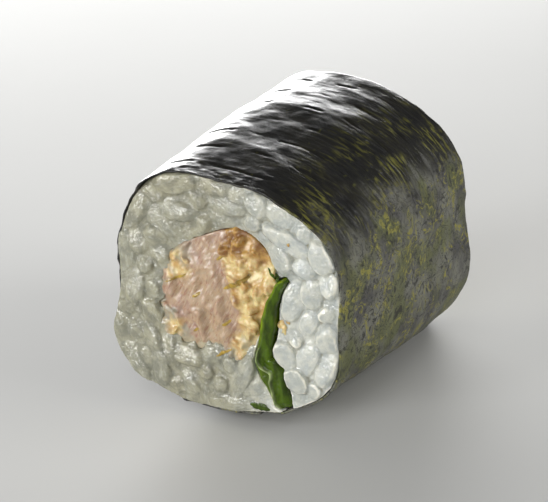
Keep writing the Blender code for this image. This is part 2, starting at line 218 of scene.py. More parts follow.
# How they are packed. A shown grain hardly gives way, and lies down if it looks longer than wide.
FRONT_SEED = 14
BACK_SEED = 23
SHAPE_SEED_STEP = 100
PACK_STEPS = 260
PLACES_PER_GRAIN = 60
FEWEST_TRIES = 12
PUSH_OFF_GRAINS = 0.3
PUSH_OFF_WALLS = 0.8
OVERLAP = 0.86
LAP_OVER = 0.4
OTHER_SIDE = -0.5
HELD_SHARE = 0.05
LEVEL_DEPTH = 0.085 * MM
LYING_RATIO = 1.15
SHOWN_TILTS = (0.1, 1.35)

# Grains that stand out on the shown face: x and z in mm, heading in degrees, the length seen in mm
# and how many levels it lies below the topmost ones.
SHOWN_GRAINS = (
    (15.3, 25.9, 141, 4.7, 0), (12.3, 23.8, 146, 3.8, 1), (16.3, 21.8, 116, 4.2, 2),
    (16.1, 18.6, 11, 2.0, 4), (15.3, 14.5, 101, 4.4, 0), (14.1, 20.0, 63, 4.7, 3),
    (12.6, 16.3, 63, 4.4, 3), (10.0, 18.9, 74, 6.3, 6), (8.8, 11.1, 120, 4.3, 3),
    (12.6, 11.2, 48, 5.8, 4), (11.6, 7.2, 151, 3.8, 1), (15.3, 9.3, 68, 5.9, 5), (13.8, 5.5, 18, 3.1, 6),
    (8.3, 24.1, 148, 5.1, 3), (9.9, 27.6, 1, 7.4, 2), (9.5, 30.4, 154, 4.5, 5), (13.0, 30.5, 139, 3.6, 5),
    (5.2, 31.1, 142, 4.2, 1), (1.1, 30.1, 5, 6.6, 4), (2.4, 33.3, 179, 4.4, 7), (0.9, 28.2, 7, 6.2, 6),
    (5.6, 28.4, 124, 3.6, 4), (-3.5, 33.0, 6, 5.0, 7), (-9.0, 31.3, 158, 3.8, 8),
    (-6.2, 27.6, 168, 7.1, 3), (-9.2, 25.0, 131, 4.0, 4), (-12.7, 23.9, 73, 4.2, 6),
    (-10.3, 21.0, 107, 3.7, 5), (-9.8, 17.4, 11, 3.0, 6), (-12.8, 16.8, 94, 5.4, 5),
    (-12.9, 10.6, 117, 3.0, 6), (-11.4, 9.8, 104, 5.9, 4), (-12.1, 7.1, 49, 4.1, 4),
    (-5.6, 9.7, 164, 5.3, 3), (-3.3, 6.5, 11, 3.1, 4), (-1.4, 5.3, 12, 3.0, 3), (-7.6, 4.3, 166, 3.3, 7),
    (4.1, 5.2, 43, 4.8, 6), (1.3, 8.7, 168, 3.5, 4), (-1.9, 9.3, 178, 4.2, 5), (-9.2, 13.3, 102, 4.6, 4),
    (-8.6, 21.6, 96, 3.4, 7), (-2.6, 26.6, 12, 4.6, 6),
)

# The camera: a long lens that looks at the cut face from the right and above, turned a little.
CAMERA_AZIMUTH = math.radians(30.56)
CAMERA_ELEVATION = math.radians(24.32)
CAMERA_ROLL = math.radians(-3)
CAMERA_TARGET = Vector((-2.92 * MM, 0, 15.76 * MM))
CAMERA_DISTANCE = 0.42
PICTURE_WIDTH = 548
PIXELS_PER_METRE = 7500
SENSOR_WIDTH = 36.0

# Lights: place and size in metres, and power in watts. The window behind makes the highlight along
# the nori's top.
LIGHTS = {
    "window": ((-0.30, 0.38, 0.05), (0.42, 0.13), 4.7),
    "key": ((0.1, -0.42, 0.36), (0.3, 0.3), 0.8),
    "lamp": ((-0.24, -0.41, 0.08), (0.15, 0.1), 1.35),
    "side": ((0.45, 0.1, 0.25), (0.3, 0.3), 1.0),
}
WORLD_LIGHT = 0.2
FLOOR_REACH = 2.0


# Curves and outlines


def smoothstep(t):
    t = np.clip(t, 0.0, 1.0)
    return t * t * (3 - 2 * t)


def hump(off, width):
    """1 in the middle and 0 well away from it."""
    return np.exp(-((off / width) ** 2))


def facing(angle, side, steepness, width):
    """1 at the angles of one side and 0 at others."""
    return smoothstep(steepness * np.cos(angle - side) + width)


def once_round(steps):
    """Angles spaced evenly all round."""
    return np.linspace(0, FULL_TURN, steps, endpoint=False)


def stacked(*coordinates):
    """Points of these coordinates."""
    return np.stack(np.broadcast_arrays(*coordinates), axis=-1)


def catmull_rom(before, start, end, after, t):
    """The curve from start to end at t, shaped by the points before and after."""
    return 0.5 * (
        2 * start
        + (end - before) * t
        + (2 * before - 5 * start + 4 * end - after) * t**2
        + (3 * start - before - 3 * end + after) * t**3
    )


def polar_radius(radii, angle):
    """The radius at these angles of a smooth closed outline through evenly spaced radii."""
    place = np.mod(angle, FULL_TURN) / FULL_TURN * len(radii)
    first = np.floor(place).astype(int)
    around = [radii[(first + k) % len(radii)] for k in (-1, 0, 1, 2)]
    return catmull_rom(*around, place - first)


def roll_outline(angle, y, depth):
    """Points of the roll at these angles and places along it, depth below its outside."""
    share = y / LENGTH + 0.5
    blend = smoothstep(share)
    radius = (1 - blend) * polar_radius(FRONT_RADII, angle) + blend * polar_radius(BACK_RADII, angle)
    radius = radius + WAIST_BULGE * np.clip(4 * share * (1 - share), 0, 1) - depth
    x = radius * np.cos(angle)
    z = np.maximum(AXIS_HEIGHT + radius * np.sin(angle), depth)
    return stacked(x, y, z)


def lap_depth(turn):
    """How deep the sheet lies, turn radians on from its inner end, which is tucked under."""
    tucked = NORI_THICKNESS + LAP_GAP
    return tucked * (1 - smoothstep((turn - LAP_ANGLE) / LAP_STEP_ANGLE))


def bed_depth(angle):
    """How deep the rice starts: just below the innermost nori."""
    turn = np.mod(angle - LAP_START + LAP_STEP_ANGLE, FULL_TURN) - LAP_STEP_ANGLE
    dip = smoothstep(2 * turn / LAP_STEP_ANGLE + 2)
    return dip * lap_depth(turn) + NORI_THICKNESS + CLEARANCE


def rim_depth(angle):
    """How deep it starts in front of the nori, whose edge it covers on the left and below."""
    return bed_depth(angle) - RIM_COVER * facing(angle, *RIM_COVER_SIDE)


def bearing(off):
    """The angle at which each of these offsets in x and z points."""
    return np.arctan2(off[:, 1], off[:, 0])


def chicken_outline(angle, grown=0.0):
    """x and z of the chicken strip's side at these angles."""
    towards_leaf = np.exp(LEAFWARD_FOCUS * (np.cos(angle - LEAFWARD) - 1))
    radius = polar_radius(CHICKEN_RADII, angle) + SWELL + LEAFWARD_SWELL * towards_leaf + grown
    return CHICKEN_CENTRE + radius[:, None] * stacked(np.cos(angle), np.sin(angle))


def leaf_sides(grown=0.0, steps=3):
    """x and z of the leaf's left and right sides, from its tip down to its fold."""
    ends = 2 * LEAF_STATIONS[[0, -1]] - LEAF_STATIONS[[1, -2]]
    stations = np.concatenate([ends[:1], LEAF_STATIONS, ends[1:]])
    shares = np.arange(steps)[:, None] / steps
    spans = [catmull_rom(*stations[k : k + 4], shares) for k in range(len(stations) - 3)]
    line = np.concatenate([*spans, LEAF_STATIONS[-1:]])
    centre, thickness = line[:, :2], line[:, 2:]
    along = np.gradient(centre, axis=0)
    along = along / np.linalg.norm(along, axis=1, keepdims=True)
    centre[0] -= along[0] * grown
    centre[-1] += along[-1] * grown
    across = stacked(along[:, 1], -along[:, 0]) * (thickness / 2 + grown)
    return centre + across, centre - across


def lumps(points, size, octaves=1, stretch=(1, 1, 1)):
    """Noise of about -1 to 1 at these points, in lumps of this size, stretched along each axis."""
    points = np.asarray(points)
    flat = (points / (size * np.array(stretch))).reshape(-1, 3).tolist()
    return np.array([noise.fractal(point, 1.0, 2.0, octaves) for point in flat]).reshape(points.shape[:-1])


def smeared_side(off):
    """1 on the chicken's left and below, where gel smears over it, and 0 on its right."""
    return facing(bearing(off), *SMEARED_SIDE)


def drawn_in(outline):
    """The chicken's outline, raggedly drawn in where the rice laps over it."""
    out = outline - CHICKEN_CENTRE
    uneven = np.clip(1 + RAGGEDNESS * lumps(np.insert(out, 1, 0, axis=1), RAGGED_SIZE, 3), 0, 2)
    lap = SMEAR_LAP * smeared_side(out) * uneven
    return outline - out * (lap / np.linalg.norm(out, axis=1))[:, None]


# Meshes


def added(name, data):
    """An object of this mesh, lamp or camera, added to the scene."""
    thing = bpy.data.objects.new(name, data)
    bpy.context.scene.collection.objects.link(thing)
    return thing


def new_object(name, vertices, faces, material=None):
    """A smooth object of this mesh, with its faces pointing out."""
    mesh = bpy.data.meshes.new(name)
    mesh.from_pydata(np.asarray(vertices).tolist(), [], [[int(k) for k in face] for face in faces])
    body = bmesh.new()
    body.from_mesh(mesh)
    bmesh.ops.recalc_face_normals(body, faces=body.faces)
    body.to_mesh(mesh)
    body.free()
    mesh.shade_smooth()
    if material:
        mesh.materials.append(material)
    return added(name, mesh)


def vertex_vectors(mesh, kind):
    """The places of a mesh's vertices, "co", or their normals, "normal"."""
    vectors = np.empty(len(mesh.vertices) * 3, np.float32)
    mesh.vertices.foreach_get(kind, vectors)
    return vectors.reshape(-1, 3).astype(float)


def keep_values(mesh, **values):
    """Stores a number or vector for each vertex under each name, for the material."""
    for name, value in values.items():
        value = np.asarray(value, np.float32)
        kind, field = ("FLOAT", "value") if value.ndim == 1 else ("FLOAT_VECTOR", "vector")
        mesh.attributes.new(name, kind, "POINT").data.foreach_set(field, value.ravel())


def grid_faces(number):
    """Four-sided faces over a grid of vertex numbers."""
    corners = number[:-1, :-1], number[:-1, 1:], number[1:, 1:], number[1:, :-1]
    return list(np.stack(corners, axis=-1).reshape(-1, 4))


def grid_border(number):
    """The vertex numbers round a grid's edge, in order."""
    return np.concatenate([number[0, :-1], number[:-1, -1], number[-1, :0:-1], number[:0:-1, 0]])


def loop_bands(loops):
    """The faces between loops of vertex numbers that follow one another."""
    faces = []
    for near, far in zip(loops[:-1], loops[1:]):
        faces += [(near[k - 1], near[k], far[k], far[k - 1]) for k in range(len(near))]
    return faces


def lofted_solid(name, rings, material=None):
    """A closed solid through rings of points, with flat ends."""
    rings = np.asarray(rings)
    loops = np.arange(rings.shape[0] * rings.shape[1]).reshape(rings.shape[:2])
    return new_object(name, rings.reshape(-1, 3), loop_bands(loops) + [loops[0], loops[-1]], material)


def strip(name, outline, places, material=None):
    """A closed solid with this outline in x and z at each of these places along the roll."""
    return lofted_solid(name, [np.insert(outline, 1, y, axis=1) for y in places], material)


def unit_ball(subdivisions):
    """The points and faces of a ball of radius 1."""
    ball = bmesh.new()
    bmesh.ops.create_icosphere(ball, subdivisions=subdivisions, radius=1)
    points = np.array([vertex.co for vertex in ball.verts])
    faces = np.array([[vertex.index for vertex in face.verts] for face in ball.faces])
    ball.free()
    return points, faces


def joined(name, blocks, faces, material):
    """One object of many blocks of points that have the same faces."""
    size = len(blocks[0])
    return new_object(name, np.concatenate(blocks),
                      np.concatenate([faces + k * size for k in range(len(blocks))]), material)


def applied(thing, kind, **settings):
    """Applies a modifier of this kind to the mesh."""
    modifier = thing.modifiers.new(kind, kind)
    for name, value in settings.items():
        setattr(modifier, name, value)
    graph = bpy.context.evaluated_depsgraph_get()
    made = bpy.data.meshes.new_from_object(thing.evaluated_get(graph))
    thing.modifiers.clear()
    thing.data = made


def merge(thing, other):
    """Adds the other object's mesh to this one's and removes the other."""
    body = bmesh.new()
    body.from_mesh(thing.data)
    body.from_mesh(other.data)
    body.to_mesh(thing.data)
    body.free()
    bpy.data.objects.remove(other)


def cut_out(thing, outlines):
    """Cuts these outlines in x and z right through, along the roll."""
    for outline in outlines:
        cutter = strip("cutter", outline, (-LENGTH, LENGTH))
        applied(thing, "BOOLEAN", operation="DIFFERENCE", solver="EXACT", object=cutter)
        bpy.data.objects.remove(cutter)


def relaxed(mesh, rounds, share):
    """The mesh's points, moved some times by this share towards the middle of their neighbours."""
    edges = np.empty(len(mesh.edges) * 2, np.int32)
    mesh.edges.foreach_get("vertices", edges)
    first, second = edges.reshape(-1, 2).T
    points = vertex_vectors(mesh, "co")
    count = np.bincount(edges, minlength=len(points))[:, None]
    for _ in range(rounds):
        total = np.stack([
            np.bincount(first, points[second, k], len(points))
            + np.bincount(second, points[first, k], len(points))
            for k in range(3)
        ], axis=-1)
        points += share * (total / count - points)
    return points


def move_points(mesh, points):
    mesh.vertices.foreach_set("co", points.astype(np.float32).ravel())
    mesh.update()


def bulge(mesh, rounds):
    """How far each vertex stands out of the mesh smoothed this many times, in mm."""
    off = vertex_vectors(mesh, "co") - relaxed(mesh, rounds, 0.5)
    return (off * vertex_vectors(mesh, "normal")).sum(axis=-1) / MM


def remeshed(thing, voxel, material):
    """Makes one smooth skin of all that the mesh holds."""
    applied(thing, "REMESH", mode="VOXEL", voxel_size=voxel)
    thing.data.materials.clear()
    thing.data.materials.append(material)
    thing.data.shade_smooth()


# Materials


def srgb(red, green, blue):
    """A colour as it looks on a screen, 0 to 255 each, as linear numbers."""
    channels = np.array([red, green, blue]) / 255
    linear = np.where(channels < 0.04045, channels / 12.92, ((channels + 0.055) / 1.055) ** 2.4)
    return (*linear.tolist(), 1.0)


def new_material(name, **values):
    """A material of one shader with these values, and the shader."""
    material = bpy.data.materials.new(name)
    material.use_nodes = True
    shader = material.node_tree.nodes["Principled BSDF"]
    for socket, value in values.items():
        shader.inputs[socket.replace("_", " ")].default_value = value
    return material, shader


def add_node(beside, kind, inputs, **settings):
    """A node in the tree of another or its socket. An input is a number, a colour or a socket."""
    tree = beside.id_data
    made = tree.nodes.new("ShaderNode" + kind)
    for name, value in settings.items():
        setattr(made, name, value)
    for key, value in inputs.items():
        if isinstance(value, bpy.types.NodeSocket):
            tree.links.new(value, made.inputs[key])
        else:
            made.inputs[key].default_value = value
    return made


def object_place(shader):
    return add_node(shader, "TexCoord", {}).outputs["Object"]


def kept(shader, name, output="Fac"):
    """What keep_values stored."""
    return add_node(shader, "Attribute", {}, attribute_name=name).outputs[output]


def stretched(place, stretch):
    """Coordinates in which patterns are longer along the axes with a smaller number."""
    return add_node(place, "Mapping", {"Vector": place, "Scale": stretch}).outputs["Vector"]


def cloudy(place, size, detail=3, roughness=0.55, distortion=0.0):
    """Noise of this size in metres. The place is scaled, as the node's own scale stops at 1000."""
    scaled = add_node(place, "VectorMath", {"Vector": place, "Scale": 1 / size}, operation="SCALE")
    inputs = {"Vector": scaled.outputs[0], "Scale": 1.0, "Detail": detail, "Roughness": roughness,
              "Distortion": distortion}
    return add_node(place, "TexNoise", inputs).outputs["Fac"]


def ramp(factor, low, high, start=0.0, end=1.0):
    """A number that goes from start to end smoothly as factor goes from low to high."""
    inputs = {"Value": factor, "From Min": low, "From Max": high, "To Min": start, "To Max": end}
    return add_node(factor, "MapRange", inputs, interpolation_type="SMOOTHSTEP").outputs[0]


def calc(operation, first, second):
    return add_node(first, "Math", {0: first, 1: second}, operation=operation).outputs[0]


def product(first, *others):
    for other in others:
        first = calc("MULTIPLY", first, other)
    return first


def mixed(factor, *colours):
    """The first colour where factor is 0, the second where it is 1: 0 to 255 each, or a socket."""
    first, second = (
        colour if isinstance(colour, bpy.types.NodeSocket) else srgb(*colour) for colour in colours)
    inputs = {"Factor": factor, 6: first, 7: second}
    return add_node(factor, "Mix", inputs, data_type="RGBA").outputs[2]


def varied(cloud, first, second, low=0.35):
    """A colour that wanders between two with this noise, which is seldom below low."""
    return mixed(ramp(cloud, low, 1 - low), first, second)


def tinted(colour, *tints):
    """The colour under tints: each a factor, the range over which it comes in, a share and a colour."""
    for factor, low, high, share, tint in tints:
        colour = mixed(ramp(factor, low, high, 0.0, share), colour, tint)
    return colour


def bumped(height, distance, strength=1.0, normal=None):
    inputs = {"Height": height, "Distance": distance, "Strength": strength}
    if normal:
        inputs["Normal"] = normal
    return add_node(height, "Bump", inputs).outputs["Normal"]


def link(shader, **sockets):
    for name, value in sockets.items():
        shader.id_data.links.new(value, shader.inputs[name.replace("_", " ")])


def nori_material():
    """Pressed seaweed: glossy and near black above; at the side dull, with a painted grey sheen and olive
    flecks.
    """
    material, shader = new_material("nori", IOR=1.5)
    sheet = kept(shader, "sheet", "Vector")
    dry = kept(shader, "dry")
    fan = kept(shader, "fan")
    patches = cloudy(sheet, 5 * MM)
    strands = cloudy(stretched(sheet, (0.22, 1, 1)), 0.55 * MM, 3, 0.6, 0.6)
    flecks = cloudy(stretched(sheet, (0.9, 0.8, 1)), 1.3 * MM, 4, 0.65, 1.6)
    clusters = ramp(cloudy(sheet, 6 * MM, 3, 0.6, 0.5), 0.45, 0.57, 0.08, 1.0)
    off_curl = calc("SUBTRACT", cloudy(sheet, 2.2 * MM, 4, 0.6, 1.8), 0.5)
    curls = calc("ABSOLUTE", off_curl, 0.0)
    dark = varied(patches, (10, 10, 8), (22, 20, 11))
    dark = tinted(dark, (flecks, 0.6, 0.75, 0.7, (84, 84, 28)))
    # Olive fibres where the top turns to the side, partly painted glints.
    dark = mixed(product(ramp(strands, 0.5, 0.62), fan, clusters), dark, (110, 108, 42))
    # The side's grey is a painted sheen over the near-black sheet, with olive patches and flecks of its
    # own.
    grey = varied(patches, (80, 79, 78), (124, 124, 113))
    grey = tinted(grey, (cloudy(sheet, 9 * MM), 0.48, 0.6, 0.7, (98, 103, 52)))
    grey = mixed(product(ramp(flecks, 0.52, 0.6), clusters), grey, (148, 143, 68))
    grey = tinted(grey, (flecks, 0.44, 0.37, 0.9, (38, 36, 30)), (curls, 0.03, 0.0, 0.8, (46, 46, 26)))
    rough = calc("ADD", ramp(flecks, 0.3, 0.7, 0.3, 0.42), product(dry, 0.18))
    lined = bumped(strands, 0.16 * MM, fan)
    link(shader, Base_Color=mixed(dry, dark, grey), Roughness=rough,
         Normal=bumped(flecks, 0.05 * MM, normal=lined))
    return material


def rice_material():
    """Cooked rice: moist, with a painted highlight on a grain's rim and painted shade in its creases;
    greyer and clearer where it is soft, and darker there with painted shade.
    """
    material, shader = new_material(
        "rice", IOR=1.5, Roughness=0.12, Specular_IOR_Level=0.9, Subsurface_Weight=0.8,
        Subsurface_Radius=(1.0, 0.97, 0.85), Subsurface_Scale=0.8 * MM)
    place = object_place(shader)
    stands = kept(shader, "stands")
    clear = kept(shader, "clear")
    cloud = cloudy(place, 1.6 * MM, 4, 0.6)
    streaks = cloudy(stretched(kept(shader, "grain", "Vector"), (1, 1, 0.3)), 0.5 * MM, 3, 0.6)
    white = varied(cloud, (190, 195, 191), (218, 219, 208))
    # The gel's colour is darker than the rice's own, as it carries painted shade too.
    gel_and_shade = varied(cloud, (137, 135, 116), (175, 171, 146))
    body = mixed(clear, white, gel_and_shade)
    body = mixed(product(kept(shader, "tone"), 0.35), body, (156, 159, 148))
    body = tinted(body, (streaks, 0.5, 0.75, 0.25, (236, 236, 226)))
    # Painted highlight on the raised rims of grains, where light would shine through their thin edges, and
    # painted shade in the creases between them.
    crisp = ramp(clear, 0.0, 1.0, 1.0, 0.35)
    painted_rim_highlight = product(ramp(stands, 0.008, 0.04, 0.0, 0.9), crisp)
    painted_crease_shade = product(ramp(stands, -0.01, -0.06, 0.0, 0.7), crisp)
    body = mixed(painted_rim_highlight, body, mixed(clear, (250, 246, 230), (186, 184, 160)))
    body = mixed(painted_crease_shade, body, mixed(clear, (160, 154, 126), (144, 138, 112)))
    beads = bumped(cloudy(place, 0.3 * MM, 2), 0.11 * MM)
    link(shader, Base_Color=body, Normal=bumped(streaks, 0.09 * MM, normal=beads))
    return material


def chicken_material():
    """Pinkish fibrous meat and its golden crust, browned in places, with painted highlights on ridges and
    lumps and painted shade in hollows and pits.
    """
    material, shader = new_material(
        "chicken", IOR=1.5, Roughness=0.27, Specular_IOR_Level=0.7, Subsurface_Weight=0.8,
        Subsurface_Radius=(1.0, 0.7, 0.45), Subsurface_Scale=0.5 * MM)
    place = object_place(shader)
    stands = kept(shader, "stands")
    fibre = kept(shader, "fibre", "Vector")
    threads = cloudy(stretched(fibre, (0.22, 1, 0.4)), 0.36 * MM, 3, 0.65)
    blotches = cloudy(place, 3.0 * MM, 4, 0.6)
    spots = cloudy(place, 1.5 * MM, 4, 0.6)
    # The meat's ridges get a painted highlight and its hollows painted shade.
    meat = tinted(
        varied(blotches, (178, 149, 130), (188, 163, 134), 0.38),
        (threads, 0.53, 0.64, 0.6, (150, 102, 80)), (threads, 0.44, 0.3, 0.6, (222, 200, 180)),
        (stands, 0.02, 0.12, 0.6, (236, 218, 198)), (stands, -0.02, -0.12, 0.5, (150, 108, 88)))
    gold = varied(spots, (230, 210, 154), (202, 166, 106), 0.38)
    toasted = varied(spots, (198, 158, 88), (142, 100, 52), 0.38)
    # The crust's lumps get a painted highlight and its pits painted shade.
    gold = tinted(
        mixed(kept(shader, "brown"), gold, toasted),
        (stands, 0.04, 0.2, 0.6, (248, 236, 196)), (stands, -0.03, -0.16, 0.8, (158, 112, 60)))
    food = mixed(kept(shader, "crust"), meat, gold)
    smear = varied(blotches, (162, 154, 134), (190, 178, 152))
    colour = mixed(kept(shader, "smear"), food, smear)
    grit = bumped(cloudy(place, 0.35 * MM), 0.05 * MM)
    link(shader, Base_Color=colour, Normal=bumped(threads, 0.08 * MM, normal=grit))
    return material


def sliver_material():
    """Moist yellow-olive seasoning."""
    material, shader = new_material("slivers", Roughness=0.35, Coat_Weight=0.4, Coat_Roughness=0.1)
    streaks = cloudy(object_place(shader), 0.6 * MM)
    colour = varied(streaks, (186, 154, 52), (150, 122, 44))
    link(shader, Base_Color=colour, Normal=bumped(streaks, 0.08 * MM))
    return material


def leaf_material():
    """A wet green leaf with a painted highlight along its ridge, paler on one side of it."""
    material, shader = new_material(
        "leaf", IOR=1.5, Roughness=0.14, Specular_IOR_Level=0.4, Subsurface_Weight=0.15,
        Subsurface_Radius=(0.4, 1.0, 0.2), Subsurface_Scale=0.3 * MM)
    place = object_place(shader)
    blotches = cloudy(stretched(place, (2, 1, 0.7)), 2.0 * MM, 4)
    dark = varied(blotches, (46, 64, 0), (72, 98, 0))
    pale = varied(blotches, (92, 116, 0), (126, 150, 16))
    # A painted highlight along the ridge.
    wet = product(kept(shader, "wet"), ramp(blotches, 0.4, 0.6, 0.4, 1.0))
    colour = mixed(wet, mixed(kept(shader, "pale"), dark, pale), (184, 198, 138))
    link(shader, Base_Color=colour, Normal=bumped(cloudy(place, 0.7 * MM), 0.08 * MM))
    return material


def floor_material():
    """A matt pale surface with faint clouds."""
    material, shader = new_material("floor", Roughness=0.65)
    clouds = cloudy(object_place(shader), 50 * MM)
    link(shader, Base_Color=mixed(clouds, (196, 196, 193), (203, 203, 200)))
    return material


# The nori


def nori_relief(arc, y, angle):
    """How far the sheet stands out of its outline: grains press through it and it wrinkles."""
    place = stacked(arc, y, 0.0)
    relief = 0.3 * lumps(place, 9 * MM) + 0.14 * lumps(place, 3.6 * MM, 2)
    fibres = lumps(place + 5 * MM, 0.6 * MM, 2, (5, 1, 1))
    relief = relief + (0.02 + 0.11 * fan_share(angle)) * fibres
    top = facing(angle, *TOP_SIDE)
    bent = y + CREASE_WANDER * lumps(place, 4 * MM, 2)
    off_crease = np.abs(np.mod(bent / CREASE_PITCH + 0.5, 1) - 0.5) * CREASE_PITCH
    broken = smoothstep(3 * lumps(place + 9 * MM, 4 * MM, 1, (0.9, 1, 1)) + 0.5)
    relief = relief - 0.2 * top * broken * hump(off_crease, CREASE_WIDTH)
    near_front = smoothstep((CRUMPLED_TO - (y + LENGTH / 2)) / CRUMPLE_FADE)
    crumple = np.abs(lumps(place + 3 * MM, 1.2 * MM, 3, (1.6, 1, 1)))
    return (relief + 0.14 * top * near_front * (crumple - 0.3)) * MM


def fan_share(angle):
    """1 where the sheet turns from top to side, and long fibres show."""
    return hump(np.degrees(angle) % 360 - FAN_MIDDLE, FAN_WIDTH)


def scraps(angle, y):
    """How far the sheet's edge stands forward at its front."""
    degrees = np.degrees(angle) % 360
    forward = sum(reach * hump(degrees - middle, width) for middle, width, reach in NORI_SCRAPS)
    return forward * MM * smoothstep(1 - (y + LENGTH / 2) / SCRAP_SPAN)


def nori_turns():
    """Angles round the sheet from its inner end, closer together where it is seen."""
    even = np.linspace(0, 1, NORI_COLUMNS)
    eased = even - DENSENESS / FULL_TURN * np.sin(FULL_TURN * (even - DENSEST_AT))
    return (FULL_TURN + LAP_ANGLE) * (eased - eased[0]) / (eased[-1] - eased[0])


def nori_piece():
    """One sheet wound once round the roll, its inner end tucked under."""
    turn = nori_turns()
    arc = turn / FULL_TURN * ARC_PER_TURN
    angle = LAP_START + turn
    blocks = []
    for rows, deeper in ((NORI_ROWS, 0.0), (NORI_INNER_ROWS, NORI_THICKNESS)):
        y = np.linspace(-LENGTH / 2, LENGTH / 2, rows)[:, None]
        ragged = EDGE_RAGGED * lumps(stacked(arc, np.sign(y), 0), 1.5 * MM, 3)
        y = y * (1 + ragged / (LENGTH / 2))
        relief = nori_relief(arc, y, angle)
        sheet = roll_outline(angle, y, lap_depth(turn) + deeper - relief)
        sheet[..., 1] -= scraps(angle, y)
        sheet[..., 2] = np.maximum(sheet[..., 2], lap_depth(turn) + deeper)
        blocks.append(sheet)
    outside = np.arange(NORI_ROWS * NORI_COLUMNS).reshape(NORI_ROWS, NORI_COLUMNS)
    inside = outside.size + np.arange(NORI_INNER_ROWS * NORI_COLUMNS).reshape(NORI_INNER_ROWS, -1)
    faces = grid_faces(outside) + grid_faces(inside)
    for row in (0, -1):
        faces += grid_faces(np.stack([outside[row], inside[row]]))
    places = np.linspace(0, NORI_ROWS - 1, NORI_INNER_ROWS).round().astype(int)
    for column in (0, -1):
        for k in range(NORI_INNER_ROWS - 1):
            span = outside[places[k] : places[k + 1] + 1, column]
            faces.append([*span, inside[k + 1, column], inside[k, column]])
    points = np.concatenate([block.reshape(-1, 3) for block in blocks])
    piece = new_object("nori_wrap", points, faces, nori_material())
    where = np.concatenate([np.broadcast_to(arc, block.shape[:2]).ravel() for block in blocks])
    around = np.arctan2(points[:, 2] - AXIS_HEIGHT, points[:, 0])
    # The side where the sheet is duller and gets its painted grey sheen.
    sheen_bearing = np.degrees(around) + DULL_SHEEN_WANDER * lumps(points, 5 * MM, 2)
    dry = smoothstep((DULL_SHEEN_TO - sheen_bearing) / 26) * smoothstep((sheen_bearing - DULL_SHEEN_FROM) / 30)
    keep_values(piece.data, sheet=stacked(where, points[:, 1], 0), dry=dry, fan=fan_share(around))
    return piece


# The rice


def ring_inside(depth, y):
    """Points round the roll at y, as deep as the function depth says for an angle."""
    angle = once_round(OUTLINE_STEPS)
    return roll_outline(angle, y, depth(angle))


def rice_walls(y):
    """The closed outlines that hold the rice at y: the bed, the rim and the fillings."""
    bed, rim = (ring_inside(depth, y)[:, [0, 2]] for depth in (bed_depth, rim_depth))
    left, right = leaf_sides(CLEARANCE + LEAF_WAVE)
    chicken = chicken_outline(once_round(CHICKEN_COLUMNS), CLEARANCE)
    return bed, rim, [chicken, np.concatenate([left, right[::-1]])]


def from_outline(points, outline):
    """For each point, the way out of a closed outline, and how far outside it the point is."""
    side = np.roll(outline, -1, axis=0) - outline
    reach = points[:, None] - outline
    along = np.clip((reach * side).sum(-1) / (side**2).sum(-1), 0, 1)
    gap = reach - along[..., None] * side
    distance = np.linalg.norm(gap, axis=-1)
    rows, nearest = np.arange(len(points)), distance.argmin(axis=1)
    above = points[:, None, 1] < outline[:, 1], points[:, None, 1] < outline[:, 1] + side[:, 1]
    right_of = side[:, 0] * reach[..., 1] > reach[..., 0] * side[:, 1]
    crossed = (above[0] != above[1]) & (right_of == (side[:, 1] > 0))
    sign = np.where(crossed.sum(axis=1) % 2 == 1, -1.0, 1.0)
    distance = distance[rows, nearest]
    return gap[rows, nearest] * (sign / np.maximum(distance, 1e-9))[:, None], distance * sign


def spread_evenly(rng, count, rim, fillings, taken):
    """Places in the rice, each the farthest from those before it out of some random ones."""
    places = rng.uniform(rim.min(axis=0), rim.max(axis=0), (PLACES_PER_GRAIN * count, 2))
    free = from_outline(places, rim)[1] < 0
    for filling in fillings:
        free &= from_outline(places, filling)[1] > 0
    places = places[free]
    chosen = list(taken) or [places[0]]
    while len(chosen) < count:
        some = places[rng.integers(0, len(places), FEWEST_TRIES + len(chosen))]
        nearest = np.linalg.norm(some[:, None] - np.array(chosen), axis=-1).min(axis=1)
        chosen.append(some[nearest.argmax()])
    return np.array(chosen)


def pushed_out(discs, radius, filling):
    """How each grain's discs move to clear a filling, all to the middle one's side of it."""
    out, gap = from_outline(discs, filling)
    side = np.repeat(out[1::3], 3, axis=0)
    across = (out * side).sum(axis=-1) < OTHER_SIDE
    back = side * (radius + np.clip(gap, 0, None))[:, None]
    return np.where(across[:, None], back, out * np.clip(radius - gap, 0, None)[:, None])


